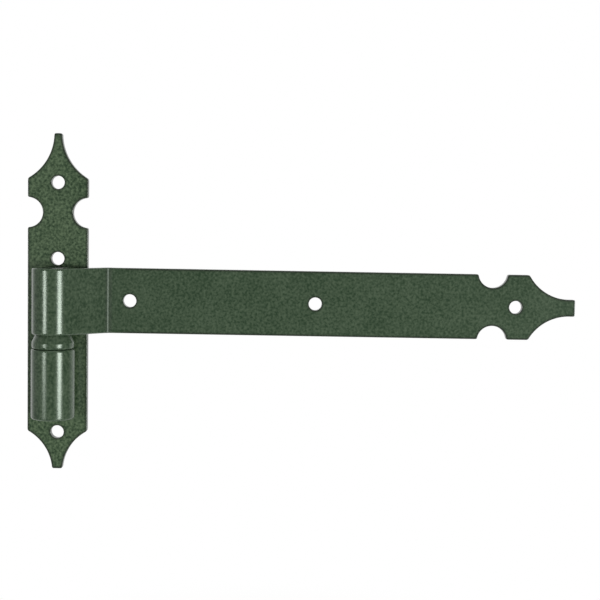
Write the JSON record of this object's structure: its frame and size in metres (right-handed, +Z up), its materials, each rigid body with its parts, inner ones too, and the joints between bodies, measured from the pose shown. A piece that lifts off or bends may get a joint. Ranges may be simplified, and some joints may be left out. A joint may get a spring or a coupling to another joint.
{
  "type": "lift-off strap hinge",
  "caption": "Long cranked strap rolled into an eye that drops on to the upright pin of a narrow screwed back plate, so a gate or shutter can swing and lift off.",
  "frame": {"origin": "middle of the back plate's rear face, where it lies on the wall", "axes": "+X along the strap away from the pin, +Y out of the rear face into the wall, +Z up along the pin"},
  "size_m": [0.294, 0.0268, 0.18],
  "materials": {
    "green_paint": "glossy dark green paint with a fine speckle",
    "pin_steel": "bright turned steel"
  },
  "bodies": {
    "plate": {"back_plate": "green_paint", "lower_knuckle": "green_paint", "weld_beads": "green_paint", "hinge_pin": "pin_steel"},
    "ring": {"bearing_ring": "green_paint"},
    "strap": {"strap": "green_paint"}
  },
  "joints": [
    {"name": "strap_swing", "type": "hinge", "parent": "plate", "child": "ring", "pos_m": [0, -0.0154, 0], "axis": [0, 0, -1], "range_deg": [0, 180]},
    {"name": "strap_lift", "type": "slide", "parent": "ring", "child": "strap", "axis": [0, 0, 1], "range_m": [0, 0.04]}
  ]
}
